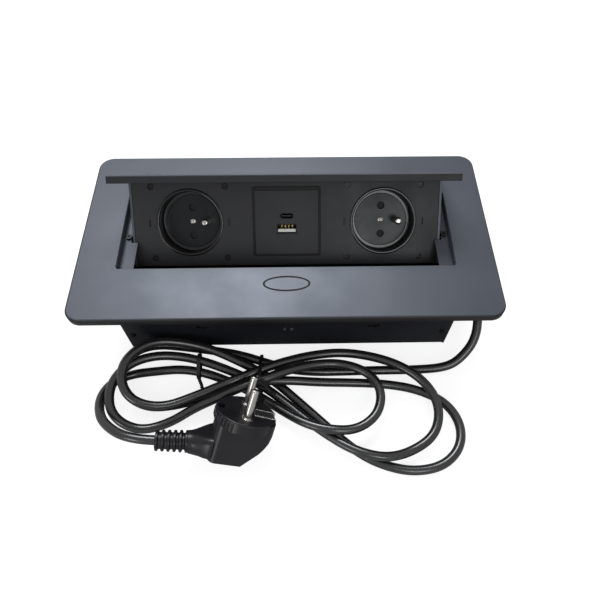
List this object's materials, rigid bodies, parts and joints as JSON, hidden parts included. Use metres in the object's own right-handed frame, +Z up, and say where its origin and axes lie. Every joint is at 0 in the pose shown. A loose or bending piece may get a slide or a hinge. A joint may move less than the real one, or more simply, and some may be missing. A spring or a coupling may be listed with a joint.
{
  "type": "furniture socket box",
  "caption": "Recessed desk power box with an aluminium frame, a tilt-up socket module with charger ports, a steel tub and a bundled mains lead.",
  "frame": {"origin": "middle of the frame in plan, at the underside of the tub", "axes": "+X to the right along the sockets, +Y to the rear, +Z up"},
  "size_m": [0.266, 0.2132, 0.1064],
  "materials": {
    "slate_anodised": "slate blue fine matte anodised",
    "lid_charcoal": "dark charcoal matte",
    "panel_charcoal": "charcoal satin",
    "black_steel": "black powder coat",
    "dark_fastener": "blackened steel",
    "bright_steel": "plain steel",
    "black_nylon": "black nylon",
    "gear_nylon": "natural nylon",
    "socket_charcoal": "charcoal satin",
    "socket_floor_grey": "bluish grey matte",
    "shutter_grey": "dark grey",
    "plated_pin": "nickel plated",
    "contact_brass": "plain brass",
    "charger_black": "black",
    "board_green": "solder mask",
    "usb_white": "white",
    "cord_black": "black sheath with a soft sheen",
    "plug_black": "black moulded",
    "tie_black": "black twist tie"
  },
  "bodies": {
    "housing": {"top_frame": "slate_anodised", "housing_tub": "black_steel", "front_rivets": "bright_steel", "frame_screws": "dark_fastener", "housing_screws": "dark_fastener", "rail_screws": "dark_fastener", "torsion_spring": "bright_steel", "damper_body": "black_nylon", "latch_stud": "bright_steel", "cord_gland": "black_nylon", "terminal_block": "black_nylon", "terminal_screws": "dark_fastener", "earth_stud": "bright_steel", "end_plate_left": "black_steel", "end_plate_right": "black_steel", "side_rail_left": "slate_anodised", "side_rail_right": "slate_anodised", "pivot_bushing_left": "black_nylon", "pivot_bushing_right": "black_nylon", "mains_cord": "cord_black", "strain_relief": "plug_black", "plug_body": "plug_black", "plug_pins": "plated_pin", "plug_earth_clips": "plated_pin", "cord_ties": "tie_black"},
    "module": {"cheek_left": "slate_anodised", "cheek_right": "slate_anodised", "pivot_pin_left": "bright_steel", "pivot_pin_right": "bright_steel", "socket_body_left": "socket_charcoal", "socket_body_right": "socket_charcoal", "socket_holder_left": "black_nylon", "socket_holder_right": "black_nylon", "socket_disc_left": "socket_floor_grey", "socket_disc_right": "socket_floor_grey", "earth_pin_left": "plated_pin", "earth_pin_right": "plated_pin", "socket_contacts_left": "contact_brass", "socket_contacts_right": "contact_brass", "lid_plate": "slate_anodised", "lid_lip": "lid_charcoal", "face_panel": "panel_charcoal", "back_cover": "black_steel", "panel_screws": "dark_fastener", "socket_screws": "plated_pin", "latch_striker": "bright_steel", "charger_bezel": "panel_charcoal", "charger_case": "charger_black", "charger_board": "board_green", "charger_parts": "charger_black", "usb_a_shell": "dark_fastener", "usb_a_tongue": "usb_white", "usb_a_contacts": "contact_brass", "usb_c_shell": "dark_fastener", "usb_c_tongue": "charger_black", "sector_gear": "gear_nylon"},
    "damper": {"damper_gear": "gear_nylon"},
    "latch": {"latch_cam": "black_nylon"},
    "shutter_left": {"socket_shutter_left": "shutter_grey"},
    "shutter_right": {"socket_shutter_right": "shutter_grey"}
  },
  "joints": [
    {"name": "module_tilt", "type": "hinge", "parent": "housing", "child": "module", "pos_m": [0, 0.0415, 0.041], "axis": [-1, 0, 0], "range_deg": [-45, 0], "stiffness_Nm_per_rad": 0.15, "springref_deg": 91.67, "deforming": ["torsion_spring"]},
    {"name": "damper_spin", "type": "hinge", "parent": "housing", "child": "damper", "pos_m": [0, 0.03562, 0.02484], "axis": [-1, 0, 0], "range_deg": [0, 108.5]},
    {"name": "latch_turn", "type": "hinge", "parent": "housing", "child": "latch", "pos_m": [-0.1047, 0.00748, 0.01171], "axis": [1, 0, 0], "range_deg": [0, 45]},
    {"name": "shutter_left_slide", "type": "slide", "parent": "module", "child": "shutter_left", "axis": [-1, 0, 0], "range_m": [0, 0.006], "stiffness_N_per_m": 60, "springref_m": -0.003},
    {"name": "shutter_right_slide", "type": "slide", "parent": "module", "child": "shutter_right", "axis": [-1, 0, 0], "range_m": [0, 0.006], "stiffness_N_per_m": 60, "springref_m": -0.003}
  ],
  "couplings": [
    {"joint": "damper_spin", "follows": "module_tilt", "ratio": -2.4}
  ]
}
